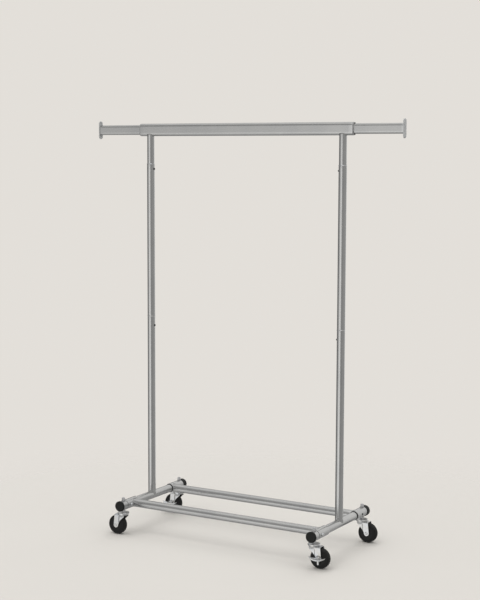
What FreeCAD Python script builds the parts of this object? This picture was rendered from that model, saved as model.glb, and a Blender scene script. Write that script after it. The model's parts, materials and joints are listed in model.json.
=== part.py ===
"""Rolling clothes rack: a tubular base on four casters, two three-piece uprights and a hanging
rail that pulls out at both ends.

Frame: X along the hanging rail, Y from front to back, Z up. The origin is on the floor, midway
between the uprights and midway between the front and rear end caps. All sizes are millimetres.
"""
import os
import FreeCAD
import Part
from math import cos, radians, sin, sqrt

V = FreeCAD.Vector
X_AXIS, Y_AXIS, Z_AXIS = V(1, 0, 0), V(0, 1, 0), V(0, 0, 1)

# overall sizes
HEIGHT = 1600.0           # floor to the top of the end plates
RAIL_LENGTH = 920.0       # the main tube of the hanging rail
PULL_OUT = 200.0          # from the main tube's end to the end plate, bars pulled out
BASE_WIDTH = 835.0        # between the centre lines of the two cross tubes
BASE_DEPTH = 454.0        # over the end caps
UNDER_BASE = 100.0        # floor to the underside of the cross tubes
GAP = 0.3                 # between pieces that move past each other
FIT = 0.08                # radial play of a pin in its bore

# base tubes
CROSS_R, CROSS_WALL = 15.5, 1.5
SLEEVE_R, SLEEVE_WALL = 18.5, 1.5
COLLAR_R = 17.7
RAIL_R, RAIL_WALL = 16.0, 1.5
CROSS_X = BASE_WIDTH / 2
BASE_Z = UNDER_BASE + CROSS_R
CAP_R, CAP_EDGE, CAP_CROWN = 20.3, 8.0, 2.0
CAP_PLUG = 8.0
CAP_SKIRT = 12.5                         # how far a rear cap reaches back over its sleeve
TUBE_END = BASE_DEPTH / 2 - CAP_EDGE - CAP_CROWN
COLLAR_END = BASE_DEPTH / 2 - 37.0       # inner end of the front collars
FRONT_SLEEVE_END = BASE_DEPTH / 2 - 115.0
REAR_SLEEVE_END = BASE_DEPTH / 2 - 101.0
FRONT_RAIL_Y = -(BASE_DEPTH / 2 - 87.0)
REAR_RAIL_Y = BASE_DEPTH / 2 - 85.0
LINER_LIP = 1.2                          # thickness of a liner's lip, outside its sleeve
LINER_LIP_R = 17.3
RIVET_Y = BASE_DEPTH / 2 - 64.0
RIVET_R, RIVET_HEAD_R, RIVET_HEAD = 2.0, 4.5, 1.5

# uprights
POST_R, POST_WALL = 15.0, 1.2
STUB_R = 14.0
SPIGOT_PLAY = 0.15
JOINT_LOW_Z = 838.0
JOINT_HIGH_Z = 1435.0
LOW_BUTTON_DROP, HIGH_BUTTON_DROP = 38.0, 21.0
LOW_SPIGOT, HIGH_SPIGOT = 85.0, 62.0     # length of each spigot below its joint
JOINT_CHAMFER = 0.9
JOINT_LINE = 0.4                         # visible line between two post lengths
SHOULDER = 4.0                           # height of the inner shoulder above each spigot

# snap buttons
BUTTON_R, BUTTON_HOLE_R = 4.0, 4.3
BUTTON_PROUD = 4.0                       # dome tip beyond the post's surface
BUTTON_ROOT = 9.0                        # inner end of the button, from the post's axis
LEAF, LEAF_WIDTH = 0.8, 8.0
SPRING_BACK = 10.8                       # outer face of the fixed leaf, from the post's axis

# lock buttons of the base
LOCK_R, LOCK_HOLE_R = 6.0, 6.3
LOCK_TIP, LOCK_ROOT = 24.5, 11.0         # from the cross tube's axis
LOCK_Y = -(BASE_DEPTH / 2 - 58.0)

# hanging rail
OVAL_H, OVAL_D, OVAL_WALL = 48.0, 24.0, 1.2
BAR_H, BAR_D, BAR_WALL = 38.0, 18.0, 1.2
PLATE_H, PLATE_D, PLATE_T = 70.0, 22.0, 4.0
PLATE_PLUG = 15.0
RAIL_Z = HEIGHT - PLATE_H / 2
BUSH_LIP = 4.0
OVAL_HALF = RAIL_LENGTH / 2
BUSH_PLUG = 40.0
BUSH_LIP_INSET = 0.8
GLIDE = 30.0
STUB_TOP = RAIL_Z - OVAL_H / 2 + 7.0

# casters
STEM_Y = BASE_DEPTH / 2 - 30.0
STEM_R = 5.0
WHEEL_R, WHEEL_W = 37.5, 25.0
TREAD_DROP, TREAD_ROUND = 5.5, 8.0       # height and width of the tread's round shoulders
HUB_R, HUB_W = 11.0, 26.4
TRAIL = 26.0                             # axle behind the stem, away from the rack's middle
AXLE_R, AXLE_HEAD_R, AXLE_HEAD = 4.0, 6.0, 2.3
LEG_INSIDE, LEG_T = 14.0, 2.0
LEG_END_R = 10.5
FORK_TOP, FORK_T = 81.0, 2.5
FORK_BEND = 4.5
FORK_DISC_R = 19.5
FORK_LEAD, FORK_TAIL = 13.0, 32.0         # the fork's top ahead of the stem and behind it
BALL_R, BALL_RING_R, BALL_COUNT = 2.2, 14.0, 14
CROWN_UNDER, CROWN_T, CROWN_R, CROWN_LIP = 86.1, 2.4, 23.0, 4.4
JAM_NUT_AF, STEM_NUT_AF, STEM_NUT_H = 14.0, 13.0, 9.0
WASHER_R, WASHER_T = 7.0, 1.4
KING_HEAD_R, KING_HEAD = 8.0, 2.2

# brake levers
BRAKED = {"front_right": -1, "rear_left": -1}   # side of the wheel, along Y
PIVOT_OUT, PIVOT_Z, PIVOT_R = 22.6, 45.0, 1.6
BARREL_R, BARREL_HALF = 3.1, 5.6
EAR_IN, EAR_OUT = 6.0, 8.0
EAR_HALF_H, EAR_REACH = 2.6, 2.0         # height each way and length beyond the pivot
PEDAL_HALF, PEDAL_REACH, PEDAL_T = 33.0, 17.0, 2.0
PEDAL_CURVE = 110.0
PEDAL_SLOPE = 18.0                       # degrees that the pedal drops outwards
TAIL_HALF, TAIL_T, TAIL_FOOT_Z, TAIL_FOOT_OUT = 3.5, 1.8, 16.0, 19.0

SIDES = {"left": -1, "right": 1}
ENDS = {"front": -1, "rear": 1}


def save(node, shape):
    """Write one node's solids to its own file."""
    shape.exportStep("parts/" + node + ".step")


def rod(radius, start, end):
    """A solid round bar from one point to another."""
    run = end - start
    return Part.makeCylinder(radius, run.Length, start, run)


def pipe(radius, wall, start, end):
    """A round tube with open ends."""
    return rod(radius, start, end).cut(rod(radius - wall, start, end))


def oval(height, depth, start, end, z=RAIL_Z):
    """A flat-sided oval bar along X: two flat faces joined by round ones above and below."""
    r = depth / 2
    flat = height / 2 - r
    low, high = z - flat, z + flat
    outline = Part.Wire([
        Part.LineSegment(V(start, -r, low), V(start, -r, high)).toShape(),
        Part.Arc(V(start, -r, high), V(start, 0, high + r), V(start, r, high)).toShape(),
        Part.LineSegment(V(start, r, high), V(start, r, low)).toShape(),
        Part.Arc(V(start, r, low), V(start, 0, low - r), V(start, -r, low)).toShape(),
    ])
    return Part.Face(outline).extrude(V(end - start, 0, 0))


def polygon(points):
    """A flat face through the given points."""
    return Part.Face(Part.makePolygon(points + points[:1]))


def turned(profile, centre, axis=Z_AXIS):
    """A solid of revolution about the local Z axis from (radius, height) pairs, then placed."""
    face = polygon([V(r, 0, z) for r, z in profile])
    solid = face.revolve(V(0, 0, 0), Z_AXIS, 360)
    solid.Placement = FreeCAD.Placement(centre, FreeCAD.Rotation(Z_AXIS, axis))
    return solid


def hexagon(across_flats, low, height, x, y):
    """A hexagonal nut body standing on a height, with its corners turned off at the top."""
    r = across_flats / sqrt(3)
    points = [V(x + r * cos(radians(60 * i)), y + r * sin(radians(60 * i)), low) for i in range(6)]
    nut = polygon(points).extrude(V(0, 0, height))
    cone = turned([(0, 0), (r, 0), (r, height - 1.0), (across_flats / 2 - 0.6, height), (0, height)],
                  V(x, y, low))
    return nut.common(cone)


# ---------------------------------------------------------------- base

def caster_hole(x, y):
    """The vertical hole that a caster's stem passes through."""
    return rod(STEM_R, V(x, y, 0), V(x, y, HEIGHT / 2))


def rivet_hole(side):
    """The hole of the rivet through the outer side of a rear sleeve."""
    s = SIDES[side]
    return rod(RIVET_R, V(s * CROSS_X, RIVET_Y, BASE_Z), V(s * (CROSS_X + SLEEVE_R + 5), RIVET_Y, BASE_Z))


def lock_point(side, distance):
    """A point on a lock button's axis, at a distance from the cross tube's axis towards +X."""
    return V(SIDES[side] * CROSS_X + distance, LOCK_Y, BASE_Z)


def base_holes(side):
    """Every hole on one side of the base: two stems, the rivet and the lock button."""
    x = SIDES[side] * CROSS_X
    holes = [caster_hole(x, -STEM_Y), caster_hole(x, STEM_Y), rivet_hole(side)]
    holes.append(rod(LOCK_HOLE_R, lock_point(side, 0), lock_point(side, LOCK_TIP)))
    return holes


def along_y(side, radius, wall, start, end):
    """A tube round the cross tube's axis, drilled where fasteners pass."""
    x = SIDES[side] * CROSS_X
    return pipe(radius, wall, V(x, start, BASE_Z), V(x, end, BASE_Z)).cut(base_holes(side))


def liner(side, start, end, lips):
    """The plastic bush between a sleeve and the cross tube, with a lip at each open mouth."""
    bush = pipe(SLEEVE_R - SLEEVE_WALL, SLEEVE_R - SLEEVE_WALL - CROSS_R,
                V(SIDES[side] * CROSS_X, start, BASE_Z), V(SIDES[side] * CROSS_X, end, BASE_Z))
    for y in lips:
        ring = pipe(LINER_LIP_R, LINER_LIP_R - CROSS_R,
                    V(SIDES[side] * CROSS_X, y, BASE_Z), V(SIDES[side] * CROSS_X, y + LINER_LIP, BASE_Z))
        bush = bush.fuse(ring)
    return bush.removeSplitter().cut(base_holes(side))


def end_cap(x, direction):
    """A black cap: a round cover with a low crown, a plug inside the cross tube and, on the rear
    caps, a skirt over the sleeve."""
    plug = CROSS_R - CROSS_WALL
    rim = [(CAP_R - 0.8, 0), (CAP_R, 0.8)]
    if direction > 0:
        rim = [(SLEEVE_R, 0), (SLEEVE_R, -CAP_SKIRT), (CAP_R - 0.8, -CAP_SKIRT), (CAP_R, 0.8 - CAP_SKIRT)]
    cover = [(0, -CAP_PLUG), (plug, -CAP_PLUG), (plug, 0)] + rim + [
        (CAP_R, CAP_EDGE - 1.5),
        (CAP_R - 0.6, CAP_EDGE - 0.3), (CAP_R - 2.0, CAP_EDGE + 0.5),
        (CAP_R * 0.7, CAP_EDGE + 1.4), (CAP_R * 0.35, CAP_EDGE + 1.9), (0, CAP_EDGE + CAP_CROWN),
    ]
    return turned(cover, V(x, direction * TUBE_END, BASE_Z), V(0, direction, 0))


def build_base():
    """Cross tubes, sleeves, collars, liners, caps, long rails and rivets."""
    liners, collars, rivets = [], [], []
    for side, s in SIDES.items():
        x = s * CROSS_X
        save(side + "_cross_tube", along_y(side, CROSS_R, CROSS_WALL, -TUBE_END, TUBE_END))
        front = along_y(side, SLEEVE_R, SLEEVE_WALL, -COLLAR_END + LINER_LIP, -FRONT_SLEEVE_END)
        rear = along_y(side, SLEEVE_R, SLEEVE_WALL, REAR_SLEEVE_END, TUBE_END)
        save("front_" + side + "_sleeve", front)
        save("rear_" + side + "_sleeve", rear)
        collars.append(along_y(side, COLLAR_R, COLLAR_R - CROSS_R, -TUBE_END, -COLLAR_END))
        liners.append(liner(side, -COLLAR_END, -FRONT_SLEEVE_END, (-COLLAR_END, -FRONT_SLEEVE_END)))
        liners.append(liner(side, REAR_SLEEVE_END, TUBE_END, (REAR_SLEEVE_END - LINER_LIP,)))
        save("front_" + side + "_cap", end_cap(x, -1))
        save("rear_" + side + "_cap", end_cap(x, 1))
        head = [
            (0, SLEEVE_R - CROSS_R - 4.5), (RIVET_R, SLEEVE_R - CROSS_R - 4.5),
            (RIVET_R, SLEEVE_R - CROSS_R), (RIVET_HEAD_R, SLEEVE_R - CROSS_R),
            (RIVET_HEAD_R - 1.0, SLEEVE_R - CROSS_R + RIVET_HEAD * 0.7),
            (0, SLEEVE_R - CROSS_R + RIVET_HEAD),
        ]
        rivets.append(turned(head, V(x + s * CROSS_R, RIVET_Y, BASE_Z), V(s, 0, 0)))
    save("sleeve_liners", Part.makeCompound(liners))
    save("front_collars", Part.makeCompound(collars))
    save("sleeve_rivets", Part.makeCompound(rivets))
    for name, y in (("front_rail", FRONT_RAIL_Y), ("rear_rail", REAR_RAIL_Y)):
        rail = pipe(RAIL_R, RAIL_WALL, V(-CROSS_X, y, BASE_Z), V(CROSS_X, y, BASE_Z))
        copes = [rod(SLEEVE_R, V(s * CROSS_X, y - 60, BASE_Z), V(s * CROSS_X, y + 60, BASE_Z))
                 for s in SIDES.values()]
        save(name, max(rail.cut(copes).Solids, key=lambda solid: solid.Volume))


def build_lock_buttons():
    """The sprung button on each front sleeve, and the leaf spring behind it."""
    springs = []
    for side in SIDES:
        dome = [
            (0, LOCK_ROOT), (LOCK_R, LOCK_ROOT), (LOCK_R, LOCK_TIP - 3.6), (LOCK_R - 0.5, LOCK_TIP - 2.2),
            (LOCK_R - 1.8, LOCK_TIP - 0.9), (LOCK_R - 3.6, LOCK_TIP - 0.2), (0, LOCK_TIP),
        ]
        save(side + "_lock_button", turned(dome, lock_point(side, 0), X_AXIS))
        low = [(-22, 12.0), (-8, 5.4), (8, 5.4), (22, 12.0)]
        outline = low + [(y, r + LEAF) for y, r in reversed(low)]
        corner = lock_point(side, 0) - Z_AXIS * (LEAF_WIDTH / 2 - 0.5)
        face = polygon([corner + Y_AXIS * y + X_AXIS * r for y, r in outline])
        springs.append(face.extrude(Z_AXIS * (LEAF_WIDTH - 1)))
    save("lock_springs", Part.makeCompound(springs))


# ---------------------------------------------------------------- uprights

def post(x, low, high, radius, wall):
    """A vertical tube whose two outer rims are bevelled."""
    c = JOINT_CHAMFER
    inner = radius - wall
    profile = [
        (inner, low), (radius - c, low), (radius, low + c), (radius, high - c),
        (radius - c, high), (inner, high),
    ]
    return turned(profile, V(x, 0, 0))


def spigot(x, joint_z, length, radius, host_inner):
    """The reduced lower end of a post length, which slips into the length below."""
    outer = host_inner - SPIGOT_PLAY
    bore = outer - POST_WALL
    shoulder = radius - POST_WALL / 2
    profile = [
        (bore, joint_z - length), (outer - 1.0, joint_z - length), (outer, joint_z - length + 2.0),
        (outer, joint_z + JOINT_LINE), (shoulder, joint_z + JOINT_LINE),
        (shoulder, joint_z + SHOULDER), (bore, joint_z + SHOULDER),
    ]
    return turned(profile, V(x, 0, 0))


def button_hole(side, z):
    """The hole of a snap button, on the side that faces the middle of the rack."""
    x = SIDES[side] * CROSS_X
    return rod(BUTTON_HOLE_R, V(x, 0, z), V(x - SIDES[side] * (POST_R + 5), 0, z))


def snap_button(side, z):
    """A domed button on the moving leaf of its V spring."""
    tip = POST_R + BUTTON_PROUD
    dome = [
        (0, BUTTON_ROOT), (BUTTON_R, BUTTON_ROOT), (BUTTON_R, tip - 2.6), (BUTTON_R - 0.4, tip - 1.5),
        (BUTTON_R - 1.4, tip - 0.5), (BUTTON_R - 2.8, tip - 0.1), (0, tip),
    ]
    x, inward = SIDES[side] * CROSS_X, -SIDES[side]
    button = turned(dome, V(x, 0, z), V(inward, 0, 0))
    near, far = sorted((x + inward * (BUTTON_ROOT - LEAF), x + inward * BUTTON_ROOT))
    leaf = Part.makeBox(far - near, LEAF_WIDTH, 28.0, V(near, -LEAF_WIDTH / 2, z - 22.0))
    return button.fuse(leaf)


def snap_spring(side, z):
    """The fixed leaf of a V spring and the bend below the moving leaf."""
    x, inward = SIDES[side] * CROSS_X, -SIDES[side]
    low = z - 22.6
    outer = (SPRING_BACK + BUTTON_ROOT) / 2
    middle = x + inward * (BUTTON_ROOT - outer)
    bend = pipe(outer, LEAF, V(middle, -LEAF_WIDTH / 2, low), V(middle, LEAF_WIDTH / 2, low))
    lower_half = Part.makeBox(4 * outer, LEAF_WIDTH, 2 * outer,
                              V(middle - 2 * outer, -LEAF_WIDTH / 2, low - 2 * outer))
    near, far = sorted((x - inward * SPRING_BACK, x - inward * (SPRING_BACK - LEAF)))
    back = Part.makeBox(far - near, LEAF_WIDTH, 28.0, V(near, -LEAF_WIDTH / 2, low))
    return bend.common(lower_half).fuse(back).removeSplitter()


def build_uprights():
    """Lower tubes on the cross tubes, middle tubes, stubs under the rail, and their buttons."""
    low_button, high_button = JOINT_LOW_Z - LOW_BUTTON_DROP, JOINT_HIGH_Z - HIGH_BUTTON_DROP
    springs = []
    for side, s in SIDES.items():
        x = s * CROSS_X
        cope = rod(CROSS_R, V(x, -60, BASE_Z), V(x, 60, BASE_Z))
        lower = post(x, BASE_Z, JOINT_LOW_Z, POST_R, POST_WALL).cut([cope, button_hole(side, low_button)])
        lower = max(lower.Solids, key=lambda solid: solid.Volume)
        middle = post(x, JOINT_LOW_Z + JOINT_LINE, JOINT_HIGH_Z, POST_R, POST_WALL)
        middle = middle.fuse(spigot(x, JOINT_LOW_Z, LOW_SPIGOT, POST_R, POST_R - POST_WALL))
        middle = middle.removeSplitter().cut([button_hole(side, low_button), button_hole(side, high_button)])
        stub = post(x, JOINT_HIGH_Z + JOINT_LINE, STUB_TOP, STUB_R, POST_WALL)
        stub = stub.fuse(spigot(x, JOINT_HIGH_Z, HIGH_SPIGOT, STUB_R, POST_R - POST_WALL))
        saddle = oval(OVAL_H, OVAL_D, x - 60, x + 60)
        stub = stub.removeSplitter().cut([button_hole(side, high_button), saddle])
        save(side + "_lower_post", lower)
        save(side + "_middle_post", middle)
        save(side + "_rail_stub", max(stub.Solids, key=lambda solid: solid.Volume))
        save(side + "_lower_snap_button", snap_button(side, low_button))
        save(side + "_upper_snap_button", snap_button(side, high_button))
        springs += [snap_spring(side, low_button), snap_spring(side, high_button)]
    save("snap_springs", Part.makeCompound(springs))


# ---------------------------------------------------------------- hanging rail

def hollow_oval(height, depth, wall, start, end):
    """A flat-sided oval tube along X."""
    return oval(height, depth, start, end).cut(oval(height - 2 * wall, depth - 2 * wall, start, end))


def build_hanging_rail():
    """The main oval tube, and at each end its bushing, bar, glide and end plate."""
    save("hanging_rail", hollow_oval(OVAL_H, OVAL_D, OVAL_WALL, -OVAL_HALF, OVAL_HALF))
    bore_h, bore_d = OVAL_H - 2 * OVAL_WALL, OVAL_D - 2 * OVAL_WALL
    plate_back = OVAL_HALF + PULL_OUT - PLATE_T
    glide_end = OVAL_HALF - BUSH_PLUG - GAP
    for side, s in SIDES.items():
        plug = oval(bore_h, bore_d, s * (OVAL_HALF - BUSH_PLUG), s * OVAL_HALF)
        lip = oval(OVAL_H - 2 * BUSH_LIP_INSET, OVAL_D - 2 * BUSH_LIP_INSET,
                   s * OVAL_HALF, s * (OVAL_HALF + BUSH_LIP))
        way = oval(BAR_H + 2 * GAP, BAR_D + 2 * GAP, s * (OVAL_HALF - 60), s * (OVAL_HALF + 60))
        save(side + "_rail_bushing", plug.fuse(lip).cut(way))
        bar = hollow_oval(BAR_H, BAR_D, BAR_WALL, s * (glide_end - GLIDE), s * plate_back)
        save(side + "_pull_bar", bar)
        glide = oval(bore_h - 2 * GAP, bore_d - 2 * GAP, s * (glide_end - GLIDE), s * glide_end)
        hole = oval(BAR_H, BAR_D, s * (glide_end - 2 * GLIDE), s * (glide_end + GLIDE))
        save(side + "_bar_glide", glide.cut(hole))
        plate = oval(PLATE_H, PLATE_D, s * plate_back, s * (plate_back + PLATE_T))
        outer_rim = [edge for edge in plate.Edges
                     if all(abs(abs(v.X) - plate_back - PLATE_T) < 1e-6 for v in edge.Vertexes)]
        plate = plate.makeFillet(1.5, outer_rim)
        inner = oval(BAR_H - 2 * BAR_WALL, BAR_D - 2 * BAR_WALL,
                     s * (plate_back - PLATE_PLUG), s * plate_back)
        save(side + "_end_plate", plate.fuse(inner))


# ---------------------------------------------------------------- casters

def wheel(centre):
    """A solid wheel with rounded shoulders and a raised hub, bored for its axle."""
    half, hub = WHEEL_W / 2, HUB_W / 2
    bore = AXLE_R + FIT
    edge = [(WHEEL_R - TREAD_DROP * (1 - sin(radians(a))), half - TREAD_ROUND * (1 - cos(radians(a))))
            for a in (0, 30, 60, 90)]
    right = [(bore, hub), (HUB_R - 1, hub), (HUB_R, hub - 1), (HUB_R + 1.5, half - 1.2),
             (WHEEL_R - 8.5, half - 1.2), (WHEEL_R - 7.0, half)] + edge
    left = [(r, -y) for r, y in reversed(right)]
    return turned(right + left, centre, Y_AXIS)


def fork(x, y, axle_x, braked_side):
    """A pressed U fork: a round top on the race, two tapering legs, and ears for a brake."""
    outside = LEG_INSIDE + LEG_T
    low, high = WHEEL_R - 25, FORK_TOP
    bend = FORK_BEND
    inner_bend = bend - LEG_T

    def section(half, top, radius):
        """The outline of an upside-down U in the YZ plane, with round shoulders."""
        k = radius * (1 - cos(radians(45)))
        a, b = V(0, -half, low), V(0, -half, top - radius)
        c, d = V(0, -half + radius, top), V(0, half - radius, top)
        e, f = V(0, half, top - radius), V(0, half, low)
        return Part.Wire([
            Part.LineSegment(a, b).toShape(), Part.Arc(b, V(0, -half + k, top - k), c).toShape(),
            Part.LineSegment(c, d).toShape(), Part.Arc(d, V(0, half - k, top - k), e).toShape(),
            Part.LineSegment(e, f).toShape(), Part.LineSegment(f, a).toShape(),
        ])

    way = 1 if axle_x > x else -1
    length = 90
    outer = Part.Face(section(outside, high, bend)).extrude(V(length, 0, 0))
    inner = Part.Face(section(LEG_INSIDE, high - FORK_T, inner_bend)).extrude(V(length, 0, 0))
    channel = outer.cut(inner)
    channel.translate(V(x - length / 2, y, 0))
    # side view: straight behind, hollow in front, with a round end at the axle
    shoulder, waist = (-FORK_LEAD, high - 8.0), (4.0, high - 24.0)
    heel, toe_front = (FORK_TAIL + 1.0, high - 8.0), TRAIL - LEG_END_R

    def at(u, z):
        """A point of the side view, u behind the stem."""
        return V(x + way * u, -30, z)

    front_edge = Part.Arc(at(toe_front, WHEEL_R), at(*waist), at(*shoulder)).toShape()
    rest = Part.makePolygon([at(*shoulder), at(-FORK_LEAD, high), at(FORK_TAIL, high), at(*heel),
                             at(TRAIL + LEG_END_R, WHEEL_R), at(toe_front, WHEEL_R)])
    side_view = Part.Face(Part.Wire([front_edge] + rest.Edges)).extrude(V(0, 60, 0))
    toe = V(axle_x, 0, WHEEL_R)
    toe_end = rod(LEG_END_R, V(toe.x, -30, toe.z), V(toe.x, 30, toe.z))
    profile = side_view.fuse(toe_end)
    profile.translate(V(0, y, 0))
    body = channel.common(profile)
    body = body.fuse(rod(FORK_DISC_R, V(x, y, high - FORK_T), V(x, y, high)))
    if braked_side:
        for u in (-1, 1):
            start = min(u * EAR_IN, u * EAR_OUT)
            v0, v1 = sorted((y + braked_side * outside, y + braked_side * (PIVOT_OUT + EAR_REACH)))
            ear = Part.makeBox(EAR_OUT - EAR_IN, v1 - v0, 2 * EAR_HALF_H,
                               V(axle_x + start, v0, PIVOT_Z - EAR_HALF_H))
            body = body.fuse(ear)
        pin_y = y + braked_side * PIVOT_OUT
        pin_half = V(EAR_OUT, 0, 0)
        pin = V(axle_x, pin_y, PIVOT_Z)
        body = body.fuse(rod(PIVOT_R, pin - pin_half, pin + pin_half))
    hole = rod(STEM_R + GAP, V(x, y, high - 10), V(x, y, high + 10))
    bore = rod(AXLE_R, V(axle_x, y - 30, WHEEL_R), V(axle_x, y + 30, WHEEL_R))
    return body.cut([hole, bore]).removeSplitter()


def axle(centre):
    """A riveted axle with a domed head outside each fork leg."""
    reach = LEG_INSIDE + LEG_T
    crown = reach + AXLE_HEAD
    head = [(AXLE_HEAD_R, reach), (AXLE_HEAD_R - 0.8, reach + 1.2), (AXLE_HEAD_R - 3.0, crown - 0.2)]
    right = [(AXLE_R, reach)] + head + [(0, crown)]
    left = [(r, -y) for r, y in reversed(right)]
    return turned(right + left, centre, Y_AXIS)


def brake_lever(axle_x, y, side):
    """A pressed lever on a cross pin: a wide curved pedal outside and a narrow tail below."""
    pin = V(axle_x, y + side * PIVOT_OUT, PIVOT_Z)
    half = V(BARREL_HALF, 0, 0)
    barrel = rod(BARREL_R, pin - half, pin + half)
    pedal_y = pin.y + side * (BARREL_R + 0.5)
    lift = PIVOT_Z - BARREL_R + 0.4
    arc = rod(PEDAL_CURVE, V(axle_x, pedal_y, lift + PEDAL_CURVE),
              V(axle_x, pedal_y + side * PEDAL_REACH, lift + PEDAL_CURVE))
    hollow = rod(PEDAL_CURVE - PEDAL_T, V(axle_x, pedal_y - side, lift + PEDAL_CURVE),
                 V(axle_x, pedal_y + side * (PEDAL_REACH + 1), lift + PEDAL_CURVE))
    plan = Part.Face(Part.Wire(Part.Ellipse(V(0, 0, 0), PEDAL_HALF, PEDAL_REACH).toShape()))
    plan = plan.extrude(V(0, 0, 60))
    plan.translate(V(axle_x, pedal_y, lift - 20))
    keep = Part.makeBox(2 * PEDAL_HALF, PEDAL_REACH, 60,
                        V(axle_x - PEDAL_HALF, min(pedal_y, pedal_y + side * PEDAL_REACH), lift - 20))
    pedal = arc.cut(hollow).common(plan).common(keep)
    pedal.rotate(V(axle_x, pin.y, lift + PEDAL_T / 2), X_AXIS, -side * PEDAL_SLOPE)
    neck = Part.makeBox(2 * BARREL_HALF, BARREL_R + 2.0, PEDAL_T,
                        V(axle_x - BARREL_HALF, min(pin.y, pin.y + side * (BARREL_R + 2.0)), lift))
    foot = y + side * TAIL_FOOT_OUT
    root, half_t = PIVOT_Z - PIVOT_R, TAIL_T / 2
    corner = axle_x - TAIL_HALF
    tail = polygon([
        V(corner, pin.y + side * half_t, root), V(corner, foot + side * TAIL_T, TAIL_FOOT_Z),
        V(corner, foot, TAIL_FOOT_Z), V(corner, pin.y - side * half_t, root),
    ]).extrude(V(2 * TAIL_HALF, 0, 0))
    bore = rod(PIVOT_R + FIT, pin - half * 2, pin + half * 2)
    return barrel.fuse([neck, pedal, tail]).cut(bore).removeSplitter()


def build_casters():
    """Four swivel casters, two of them with a brake lever."""
    stems, nuts, balls = [], [], []
    for end, e in ENDS.items():
        tube_r = COLLAR_R if end == "front" else SLEEVE_R
        for side, s in SIDES.items():
            name = end + "_" + side
            x, y = s * CROSS_X, e * STEM_Y
            axle_x = x + s * TRAIL
            braked = BRAKED.get(name, 0)
            top = BASE_Z + tube_r
            king = FORK_TOP - FORK_T - GAP
            stem = rod(STEM_R, V(x, y, king - KING_HEAD), V(x, y, top + WASHER_T + STEM_NUT_H + 2.5))
            king_head = rod(KING_HEAD_R, V(x, y, king - KING_HEAD), V(x, y, king))
            stems.append(stem.fuse(king_head).removeSplitter())
            washer = pipe(WASHER_R, WASHER_R - STEM_R, V(x, y, top), V(x, y, top + WASHER_T))
            nut = hexagon(STEM_NUT_AF, top + WASHER_T, STEM_NUT_H, x, y).cut(caster_hole(x, y))
            jam_low = CROWN_UNDER + CROWN_T
            jam = hexagon(JAM_NUT_AF, jam_low, BASE_Z - tube_r - jam_low, x, y).cut(caster_hole(x, y))
            nuts += [washer, nut, jam]
            crown = [
                (STEM_R, CROWN_UNDER), (CROWN_R - 1.6, CROWN_UNDER), (CROWN_R - 1.6, CROWN_UNDER - CROWN_LIP),
                (CROWN_R, CROWN_UNDER - CROWN_LIP), (CROWN_R, CROWN_UNDER + 1.0),
                (CROWN_R - 1.4, CROWN_UNDER + CROWN_T), (STEM_R, CROWN_UNDER + CROWN_T),
            ]
            save(name + "_crown", turned(crown, V(x, y, 0)))
            for i in range(BALL_COUNT):
                a = radians(360 * i / BALL_COUNT)
                place = V(x + BALL_RING_R * cos(a), y + BALL_RING_R * sin(a), CROWN_UNDER - BALL_R)
                balls.append(Part.makeSphere(BALL_R, place))
            save(name + "_fork", fork(x, y, axle_x, braked))
            centre = V(axle_x, y, WHEEL_R)
            save(name + "_axle", axle(centre))
            save(name + "_wheel", wheel(centre))
            if braked:
                save(name + "_brake_lever", brake_lever(axle_x, y, braked))
    save("caster_stems", Part.makeCompound(stems))
    save("stem_nuts", Part.makeCompound(nuts))
    save("caster_balls", Part.makeCompound(balls))


os.makedirs("parts", exist_ok=True)
build_base()
build_lock_buttons()
build_uprights()
build_hanging_rail()
build_casters()
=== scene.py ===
import json
import math

import bmesh
import bpy
import numpy as np
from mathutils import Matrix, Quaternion, Vector


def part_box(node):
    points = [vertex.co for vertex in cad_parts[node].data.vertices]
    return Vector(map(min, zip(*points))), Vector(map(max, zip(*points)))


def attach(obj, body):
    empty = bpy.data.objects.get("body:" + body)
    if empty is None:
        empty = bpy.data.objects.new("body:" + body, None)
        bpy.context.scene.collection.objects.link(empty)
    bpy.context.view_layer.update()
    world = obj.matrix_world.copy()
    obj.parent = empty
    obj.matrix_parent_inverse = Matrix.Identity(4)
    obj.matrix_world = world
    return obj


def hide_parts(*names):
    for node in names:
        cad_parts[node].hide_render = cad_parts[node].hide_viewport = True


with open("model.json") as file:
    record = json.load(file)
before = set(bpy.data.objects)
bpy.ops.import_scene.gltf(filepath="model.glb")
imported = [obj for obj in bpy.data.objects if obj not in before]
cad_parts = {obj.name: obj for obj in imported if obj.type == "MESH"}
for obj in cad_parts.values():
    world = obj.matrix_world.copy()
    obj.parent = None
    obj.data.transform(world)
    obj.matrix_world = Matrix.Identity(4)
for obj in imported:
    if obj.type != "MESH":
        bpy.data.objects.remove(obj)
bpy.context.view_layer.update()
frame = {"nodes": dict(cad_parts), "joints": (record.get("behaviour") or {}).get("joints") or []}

MM = 0.001
SIDES = {"left": -1, "right": 1}
ENDS = {"front": -1, "rear": 1}
BRAKED = ("front_right", "rear_left")


# ------------------------------------------------------------ sizes read from the frame

def middle(node, axis):
    """The middle of a CAD node's box along one axis, 0 for X, 1 for Y or 2 for Z."""
    low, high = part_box(node)
    return (low[axis] + high[axis]) / 2


def reach(node, axis, side=1):
    """The outermost place of a CAD node along one axis, towards the positive or negative side."""
    low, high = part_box(node)
    return high[axis] if side > 0 else low[axis]


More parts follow.
